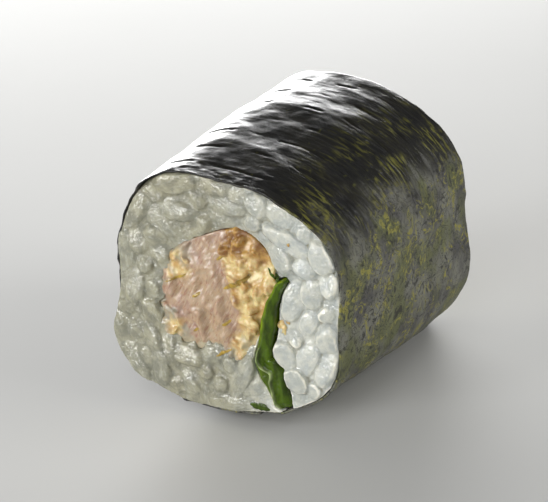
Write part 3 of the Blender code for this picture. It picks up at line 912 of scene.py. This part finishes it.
def packed_grains(seed, rim, fillings, shown):
    """Grains on a cut face: shown ones, and random ones pushed apart to lie side by side.

    Each is a row of three discs, pushed by other grains' discs, the nori and the filling.
    Grains at different depths may lap over. A few point along the roll and are seen end on.
    """
    rng = np.random.default_rng(seed)
    count = GRAINS_PER_FACE
    length = rng.uniform(*GRAIN_LENGTH, count)
    width = rng.uniform(*GRAIN_WIDTH, count)
    end_on = rng.random(count) < END_ON_SHARE
    tilt = np.where(end_on, rng.uniform(*END_ON_TILT, count), rng.uniform(*LYING_TILT, count))
    heading = rng.uniform(0, math.pi, count)
    held = np.arange(count) < len(shown)
    sink = rng.uniform(*GRAIN_SINK, count)
    if shown:
        x, z, shown_heading, seen, level = np.array(shown).T
        sink[held] = level * LEVEL_DEPTH
        heading[held] = np.radians(shown_heading)
        lying = seen * MM > LYING_RATIO * width[held]
        tilt[held] = np.where(lying, *SHOWN_TILTS)
        length[held] = np.where(lying, seen * MM, length[held])
    tilt = tilt * rng.choice([-1, 1], count)
    centre = spread_evenly(rng, count, rim, fillings, MM * stacked(x, z) if shown else [])
    loose = np.where(held, HELD_SHARE, 1.0)
    reach = (length - width) / 2 * np.cos(tilt)
    arm = stacked(-reach, 0 * reach, reach)
    radius = OVERLAP * np.repeat(width / 2, 3)
    owner = np.repeat(np.arange(count), 3)
    others = owner[:, None] != owner
    deeper = np.abs(sink[owner][:, None] - sink[owner])
    room = (radius[:, None] + radius) * (1 - LAP_OVER * np.clip(deeper / MM, 0, 1))
    for _ in range(PACK_STEPS):
        way = stacked(np.cos(heading), np.sin(heading))
        discs = (centre[:, None] + arm[..., None] * way[:, None]).reshape(-1, 2)
        apart = discs[:, None] - discs
        distance = np.linalg.norm(apart, axis=-1) + 1e-9
        overlap = np.clip(room - distance, 0, None) * others
        push = (apart * (overlap / distance)[..., None]).sum(axis=1) * PUSH_OFF_GRAINS
        push *= np.repeat(loose, 3)[:, None]
        out, gap = from_outline(discs, rim)
        push -= out * np.clip(gap + radius, 0, None)[:, None] * PUSH_OFF_WALLS
        for filling in fillings:
            push += pushed_out(discs, radius, filling) * PUSH_OFF_WALLS
        push = push.reshape(count, 3, 2)
        centre = centre + push.mean(axis=1)
        turning = way[:, None, 0] * push[..., 1] - way[:, None, 1] * push[..., 0]
        heading = heading + (arm * turning).sum(axis=1) / (2 * reach**2 + (width / 4) ** 2)
    return list(zip(centre, heading, tilt, length, width, sink))


def rice_proud(x, z):
    """How far the rice stands out of the nori's edge: more to the left and the bottom."""
    return RICE_PROUD + RICE_PROUD_LEAN[0] * x + RICE_PROUD_LEAN[1] * (z - AXIS_HEIGHT)


def pressed_in(points, end, walls, lean):
    """Presses a grain back from the nori and the filling, or lets it lean over them."""
    bed, rim, fillings = walls
    flat = points[:, [0, 2]]
    in_front = end * points[:, 1] > LENGTH / 2 + CLEARANCE
    for wall, meets in ((bed, ~in_front), (rim, in_front)):
        out, gap = from_outline(flat, wall)
        flat = flat - out * (np.clip(gap + GRAIN_INSET, 0, None) * meets)[:, None]
    over = smoothstep((end * points[:, 1] - LENGTH / 2) / LEAN_LEVEL) * lean
    for filling, allowed in zip(fillings, (over, 0.0)):
        out, gap = from_outline(flat, filling)
        flat = flat + out * np.clip(GRAIN_INSET - gap - allowed, 0, None)[:, None]
    points[:, [0, 2]] = flat
    return points


def cut_flat(points, end, reach):
    """Flattens what would stand out further than reach, as the knife does."""
    past = end * points[:, 1] - (reach - CUT_SOFTNESS)
    kept_back = CUT_SOFTNESS * (1 - np.exp(-np.clip(past, 0, None) / CUT_SOFTNESS))
    points[:, 1] -= end * np.where(past > 0, past - kept_back, 0)
    return points


def grain_shape(ball, rng):
    """A cooked grain of length and width 1 in its own axes: plump, uneven, with blunt ends."""
    shape = 1.06 * np.sign(ball) * np.abs(ball) ** 0.95
    bend = rng.uniform(-GRAIN_BEND, GRAIN_BEND)
    shape[:, 0] += bend * (1 - shape[:, 2] ** 2) - bend / 2
    dents = lumps(ball + rng.uniform(-50, 50, 3), 0.9, 2)
    streaks = lumps(ball + rng.uniform(-50, 50, 3), 0.3, 2, (1, 1, 3))
    return shape * (0.5 * (1 + 0.1 * dents + 0.03 * streaks))[:, None]


def rice_slab(end, fillings):
    """The rice behind the grains of one cut face, hollow for the fillings."""
    ring = ring_inside(bed_depth, end * LENGTH / 2)
    ring[:, 1] = end * (LENGTH / 2 + rice_proud(ring[:, 0], ring[:, 2]) - GRAIN_RISE)
    slab = lofted_solid("slab", [ring, ring - (0, end * SLAB_DEPTH, 0)])
    cut_out(slab, fillings)
    return slab


def softness(x, end, start, span):
    """How far the rice has run to gel: on the left of the shown face, and half all behind."""
    return smoothstep((start - x) / span) if end < 0 else np.full_like(x, 0.5)


def rice_face(name, end, seed, shown, material):
    """The grains of one cut face, pressed together over the rice behind them."""
    ball, ball_faces = unit_ball(4)
    rng = np.random.default_rng(seed + SHAPE_SEED_STEP)
    walls = rice_walls(end * LENGTH / 2)
    _, rim, (chicken, leaf) = walls
    fillings = drawn_in(chicken), leaf
    blocks, inverses, middles = [], [], []
    for centre, heading, tilt, length, width, sink in packed_grains(seed, rim, fillings, shown):
        flat = math.cos(tilt)
        axis = np.array([math.cos(heading) * flat, math.sin(tilt), math.sin(heading) * flat])
        side = np.array([-math.sin(heading), 0.0, math.cos(heading)])
        axes = np.stack([side * width, np.cross(axis, side) * width, axis * length])
        half = width / 2 + (length - width) / 2 * abs(axis[1])
        front = LENGTH / 2 + rice_proud(*centre)
        middle = np.array([centre[0], end * (front - sink - half + rng.uniform(*GRAIN_LIFT)), centre[1]])
        grain = grain_shape(ball, rng) @ axes + middle
        tilted = (grain[:, [0, 2]] - centre) @ rng.normal(0, TOP_TILT, 2)
        grain = cut_flat(grain, end, front - sink + np.clip(tilted, -1, TOP_RISE))
        grain[:, 1] = end * np.maximum(end * grain[:, 1], front - GRAIN_RISE - SLAB_DEPTH / 2)
        blocks.append(pressed_in(grain, end, walls, rng.uniform(0.2, 1) * LEAN_OVER))
        inverses.append(np.linalg.inv(axes))
        middles.append(middle)
    piece = joined(name, blocks, ball_faces, None)
    merge(piece, rice_slab(end, fillings))
    remeshed(piece, RICE_VOXEL, material)
    mesh = piece.data
    soft = softness(vertex_vectors(mesh, "co")[:, :1], end, *SOFT_SHAPE)
    points = relaxed(mesh, RELAXING_ROUNDS, FIRM_RELAXING + SOFT_RELAXING * soft)
    move_points(mesh, points)
    local = np.stack([(points - middle) @ inverse for middle, inverse in zip(middles, inverses)])
    nearest = np.linalg.norm(local, axis=-1).argmin(axis=0)
    own = np.take_along_axis(local, nearest[None, :, None], axis=0)[0] * USUAL_GRAIN_IN_MM * MM
    own = own + 50 * MM * nearest[:, None]
    tone = rng.random(len(middles))[nearest]
    # Greyer and darker towards the left: the gel's colour with painted shade.
    clear = softness(points[:, 0], end, *GEL_AND_SHADE_LOOK)
    keep_values(mesh, grain=own, tone=tone, clear=clear, stands=bulge(mesh, RICE_BULGE_ROUNDS))
    streaks = 0.5 * lumps(own, 0.45 * MM, 2, (1, 1, 2.6)) + 0.6 * lumps(points, 0.42 * MM, 2)
    move_points(mesh, points + vertex_vectors(mesh, "normal") * (RICE_RELIEF * streaks)[:, None])
    return piece


def rice_middle(material):
    """The rice between the two faces, inside the nori."""
    rings = []
    for share in np.linspace(-1, 1, MIDDLE_ROWS):
        ring = ring_inside(bed_depth, share * LENGTH / 2)
        ring[:, 1] = share * (LENGTH / 2 - MIDDLE_INSET)
        rings.append(ring)
    middle = lofted_solid("rice_middle", rings)
    cut_out(middle, rice_walls(0.0)[2])
    middle.data.materials.append(material)
    return middle


# The chicken and the leaf


def patch_share(points, patches):
    """1 inside these round patches, 0 outside them, with a ragged edge."""
    x = points[:, 0] + PATCH_WANDER * lumps(points, PATCH_LUMP, 3)
    z = points[:, 2] + PATCH_WANDER * lumps(points + 30 * MM, PATCH_LUMP, 3)
    share = np.zeros(len(points))
    for patch_x, patch_z, radius in patches:
        off = np.hypot(x - patch_x * MM, z - patch_z * MM)
        share = np.maximum(share, smoothstep((radius * MM - off) / CRUST_FADE + 0.5))
    return share


def disc_grid(cells):
    """A square grid eased onto a disc of radius 1, and its points' numbers."""
    line = np.linspace(-1, 1, cells + 1)
    u, v = np.meshgrid(line, line)
    grid = stacked(u * np.sqrt(1 - v**2 / 2), v * np.sqrt(1 - u**2 / 2)).reshape(-1, 2)
    return grid, np.arange(len(grid)).reshape(cells + 1, cells + 1)


def fibre_place(points):
    """The points along the meat's fibres, across them, and along the roll."""
    along = points[:, 0] * math.cos(FIBRE_LEAN) + points[:, 2] * math.sin(FIBRE_LEAN)
    across = points[:, 2] * math.cos(FIBRE_LEAN) - points[:, 0] * math.sin(FIBRE_LEAN)
    return stacked(along, across, points[:, 1])


def chicken_relief(points):
    """How far the meat's ridges and the crust's lumps stand out, and the share of crust."""
    crust = patch_share(points, CRUST_PATCHES)
    fibres = lumps(fibre_place(points), 0.55 * MM, 3, (4, 1, 3))
    bent = points[:, 0] + 0.25 * points[:, 2] + 0.9 * MM * lumps(points, 3 * MM, 2)
    broken = smoothstep(2 * lumps(points + 12 * MM, 2.6 * MM, 1) + 0.6)
    ridge = np.cos(FULL_TURN * bent / RIDGE_PITCH) * broken
    meat = 0.4 * ridge + 0.2 * lumps(points, 1.7 * MM, 3) + 0.12 * fibres
    crags = 0.8 * lumps(points + 7 * MM, 2.6 * MM, 2) + 0.12 * lumps(points, 0.8 * MM, 2)
    return (meat + (crags - meat) * crust) * MM, crust


def on_chicken(flat, end):
    """Points of the chicken's cut face at these x and z, their share of crust, and of its radius."""
    off = flat - CHICKEN_CENTRE
    share = np.hypot(*off.T) / np.hypot(*(chicken_outline(bearing(off)) - CHICKEN_CENTRE).T)
    points = np.insert(flat, 1, end * (LENGTH / 2 + CHICKEN_PROUD), axis=1)
    relief, crust = chicken_relief(points)
    points[:, 1] += end * (CHICKEN_DOME * (1 - share**2) + relief * (1 - share**12))
    return points, crust, share


def smear_share(points):
    """How far gel smears over the chicken: on its border, at the left and below."""
    off = points[:, [0, 2]] - CHICKEN_CENTRE
    inside = polar_radius(CHICKEN_RADII, bearing(off)) - np.hypot(*off.T)
    reach = SMEAR_REACH * (1 + 1.2 * lumps(points, 2 * MM, 3))
    return smeared_side(off) * smoothstep((reach - inside) / SMEAR_REACH)


def crust_crumbs(end, seed):
    """Crumbs of the fried crust, half sunk in one cut face."""
    rng = np.random.default_rng(seed)
    ball, ball_faces = unit_ball(3)
    off = rng.uniform(-CRUMB_SPREAD, CRUMB_SPREAD, (2, CRUMB_TRIES)).T * MM
    points, crust, share = on_chicken(CHICKEN_CENTRE + off, end)
    fits = (share < 0.97) & (crust > rng.uniform(0.4, 1, CRUMB_TRIES))
    blocks = []
    for place in points[fits][:CRUMBS_PER_FACE]:
        size = rng.uniform(*CRUMB_SIZE) * np.array([1, rng.uniform(0.5, 1), rng.uniform(0.35, 0.6)])
        turn = np.linalg.qr(rng.normal(size=(3, 3)))[0]
        shape = ball * (1 + 0.4 * lumps(ball + rng.uniform(-50, 50, 3), 0.8, 2))[:, None]
        crumb = place - (0, end * CRUMB_SINK * size.mean(), 0) + (shape * size) @ turn
        blocks.append(cut_flat(crumb, end, LENGTH / 2 + CRUMB_REACH))
    return joined("crumbs", blocks, ball_faces, None)


def chicken_face(name, end, seed, material):
    """One cut face of the chicken: fibrous meat with lumpy crust, in one skin."""
    grid, number = disc_grid(CHICKEN_FACE_CELLS)
    border = grid_border(number)
    share = np.linalg.norm(grid, axis=-1, keepdims=True)
    edge = chicken_outline(bearing(grid)) - CHICKEN_CENTRE
    face = on_chicken(CHICKEN_CENTRE + share * edge, end)[0]
    rear = face[border]
    rear[:, 1] = end * (LENGTH / 2 - CHICKEN_FACE_DEPTH)
    rear_loop = len(face) + np.arange(len(border))
    faces = grid_faces(number) + loop_bands([border, rear_loop]) + [rear_loop]
    piece = new_object(name, np.concatenate([face, rear]), faces)
    merge(piece, crust_crumbs(end, seed))
    remeshed(piece, CHICKEN_VOXEL, material)
    mesh = piece.data
    points = relaxed(mesh, *CHICKEN_RELAXING)
    move_points(mesh, points)
    keep_values(mesh, crust=patch_share(points, CRUST_PATCHES), brown=patch_share(points, BROWN_PATCHES),
                smear=smear_share(points), fibre=fibre_place(points),
                stands=bulge(mesh, CHICKEN_BULGE_ROUNDS))
    return piece


def chicken_middle(material):
    """The strip of chicken between its two cut faces."""
    half = LENGTH / 2 - CHICKEN_FACE_DEPTH / 2
    outline = chicken_outline(once_round(CHICKEN_COLUMNS))
    return strip("chicken_middle", outline, np.linspace(-half, half, CHICKEN_ROWS), material)


def face_tree(pieces):
    """A search tree over the shown face, made of these pieces."""
    body = bmesh.new()
    for piece in pieces:
        body.from_mesh(piece.data)
    tree = BVHTree.FromBMesh(body)
    body.free()
    return tree


def laid_on(tree, flat):
    """The points of the shown face at these x and z, or in front of the gaps in it."""
    points = []
    for x, z in flat:
        hit = tree.ray_cast((x, -LENGTH, z), (0, 1, 0), LENGTH / 2)[0]
        points.append(tuple(hit) if hit else (x, -LENGTH / 2 - RICE_PROUD / 2, z))
    return np.array(points)


def sliver_pieces(name, slivers, tree, material):
    """Thin ragged slivers that lie on the shown face."""
    ball, ball_faces = unit_ball(4)
    blocks = []
    for from_x, from_z, to_x, to_z, width in slivers:
        reach = np.array([to_x - from_x, to_z - from_z])
        length = np.linalg.norm(reach)
        along, across = reach / length, np.array([-reach[1], reach[0]]) / length
        ragged = 1 + 0.6 * lumps(ball * (0.5 * length, 1, 1) + 9 * length, 0.5, 3)
        pointed = ragged * (1 - ball[:, 0] ** 4) / np.sqrt(1.1 - ball[:, 0] ** 2)
        flat = ball[:, :1] * along * length / 2 + (ball[:, 2] * pointed)[:, None] * across * width / 2
        flat = MM * (flat + (from_x + to_x, from_z + to_z) * np.array(0.5))
        points = laid_on(tree, flat)
        points[:, 1] += SLIVER_THICKNESS / 2 * ball[:, 1] + SLIVER_SINK
        blocks.append(points)
    return joined(name, blocks, ball_faces, material)


def loose_crumbs(tree, material):
    """Crumbs of crust that fell on the rice."""
    ball, ball_faces = unit_ball(4)
    blocks = []
    for x, z, size, _ in LOOSE_CRUMBS:
        lumpy = ball * (1 + 0.5 * lumps(ball + size * 9, 0.8, 3))[:, None] * size * MM
        middle = laid_on(tree, [(x * MM, z * MM)])[0]
        blocks.append(middle + lumpy * (0.8, 0.4, 1) + (0, 0.2 * size * MM, 0))
    piece = joined("crumbs_loose", blocks, ball_faces, material)
    browned = np.repeat([brown for *_, brown in LOOSE_CRUMBS], len(ball))
    keep_values(piece.data, crust=np.ones(len(browned)), brown=browned)
    return piece


def leaf_piece(material):
    """The folded leaf: its cut edges are rounded, and a wet ridge with a painted highlight runs down its
    lower half.
    """
    left, right = leaf_sides(0.0, LEAF_STEPS)
    down = np.linspace(0, 1, len(left))[:, None]
    across = np.linspace(-1, 1, LEAF_CELLS + 1)
    section = left[:, None] + (right - left)[:, None] * (across[:, None] + 1) / 2
    lower = smoothstep((down - 0.5) / 0.12)
    rounded = np.clip(1 - across**8, 0, 1) ** 0.5 * np.clip(16 * (1 - down), 0, 1) ** 0.5
    off_ridge = across - np.interp(down, RIDGE_DOWN, RIDGE_ACROSS)
    ridge = hump(off_ridge, RIDGE_WIDTH) * (0.05 + 0.95 * lower)
    hollow = hump(off_ridge - HOLLOW_OFF, HOLLOW_WIDTH) * lower
    height = LEAF_PROUD * (rounded * (0.85 - 0.15 * across - 0.15 * hollow) + 0.3 * ridge)
    flat = section.reshape(-1, 2)
    blocks = []
    for end in (-1, 1):
        y = end * (LENGTH / 2 + height.ravel())
        x = flat[:, 0] + LEAF_WAVE * np.sin(FULL_TURN * (y + flat[:, 1]) / LEAF_WAVELENGTH)
        points = stacked(x, y, flat[:, 1])
        points[:, 1] += end * MM * (0.2 * lumps(points, 3 * MM, 2) + 0.08 * lumps(points, 1.1 * MM, 3))
        points[:, 0] += 0.15 * MM * lumps(points + 3 * MM, 1.8 * MM, 2)
        blocks.append(points)
    number = np.arange(len(flat)).reshape(section.shape[:2])
    border = grid_border(number)
    faces = grid_faces(number) + grid_faces(number + len(flat)) + loop_bands([border, border + len(flat)])
    piece = new_object("leaf_fold", np.concatenate(blocks), faces, material)
    pale = smoothstep((0.1 - off_ridge) / 0.5) * (1 - 0.7 * lower)
    # The ridge's share is kept for the painted highlight along it.
    keep_values(piece.data, pale=np.tile(pale.ravel(), 2), wet=np.tile(ridge.ravel(), 2))
    return piece


# The stage


def add_camera():
    """The camera, turned about its line of sight by its roll."""
    x, y = math.cos(CAMERA_AZIMUTH), math.sin(CAMERA_AZIMUTH)
    level = math.cos(CAMERA_ELEVATION)
    across = Vector((x, y, 0))
    back = Vector((y * level, -x * level, math.sin(CAMERA_ELEVATION)))
    upright = Matrix((across, back.cross(across), back)).transposed()
    turned = upright @ Matrix.Rotation(CAMERA_ROLL, 3, "Z")
    data = bpy.data.cameras.new("camera")
    data.sensor_width = SENSOR_WIDTH
    data.lens = SENSOR_WIDTH * CAMERA_DISTANCE * PIXELS_PER_METRE / PICTURE_WIDTH
    data.clip_start = 0.01
    camera = added("camera", data)
    camera.matrix_world = Matrix.Translation(CAMERA_TARGET + CAMERA_DISTANCE * back) @ turned.to_4x4()
    bpy.context.scene.camera = camera


def add_light(name, place, size, power):
    """A soft rectangular light that shines at the roll."""
    data = bpy.data.lights.new(name, "AREA")
    data.shape = "RECTANGLE"
    data.size, data.size_y = size
    data.energy = power
    light = added(name, data)
    light.location = place
    towards = Vector((0, 0, AXIS_HEIGHT)) - Vector(place)
    light.rotation_euler = towards.to_track_quat("-Z", "Y").to_euler()


def add_stage():
    """A pale floor and plain soft studio light."""
    corners = [(x * FLOOR_REACH, y * FLOOR_REACH, 0) for x, y in ((-1, -1), (1, -1), (1, 1), (-1, 1))]
    new_object("floor", corners, [range(4)], floor_material())
    for name, (place, size, power) in LIGHTS.items():
        add_light(name, place, size, power)
    world = bpy.data.worlds.new("studio")
    world.use_nodes = True
    background = world.node_tree.nodes["Background"]
    background.inputs["Color"].default_value = (1, 1, 1, 1)
    background.inputs["Strength"].default_value = WORLD_LIGHT
    bpy.context.scene.world = world
    bpy.context.scene.view_settings.view_transform = "Standard"


def main():
    add_camera()
    add_stage()
    rice = rice_material()
    chicken = chicken_material()
    leaf = leaf_material()
    rice_front = rice_face("rice_front", -1, FRONT_SEED, SHOWN_GRAINS, rice)
    chicken_front = chicken_face("chicken_front", -1, FRONT_CRUMB_SEED, chicken)
    leaf_fold = leaf_piece(leaf)
    shown_face = face_tree([rice_front, chicken_front, leaf_fold])
    pieces = (
        (nori_piece(), "nori"),
        (rice_front, "rice"),
        (rice_face("rice_back", 1, BACK_SEED, (), rice), "rice"),
        (rice_middle(rice), "rice"),
        (chicken_front, "chicken"),
        (chicken_face("chicken_back", 1, BACK_CRUMB_SEED, chicken), "chicken"),
        (chicken_middle(chicken), "chicken"),
        (sliver_pieces("slivers", SLIVERS, shown_face, sliver_material()), "chicken"),
        (loose_crumbs(shown_face, chicken), "chicken"),
        (leaf_fold, "leaf"),
        (sliver_pieces("leaf_slivers", LEAF_SLIVERS, shown_face, leaf), "leaf"),
    )
    for piece, node in pieces:
        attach(piece, "root")
        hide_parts(node)


main()
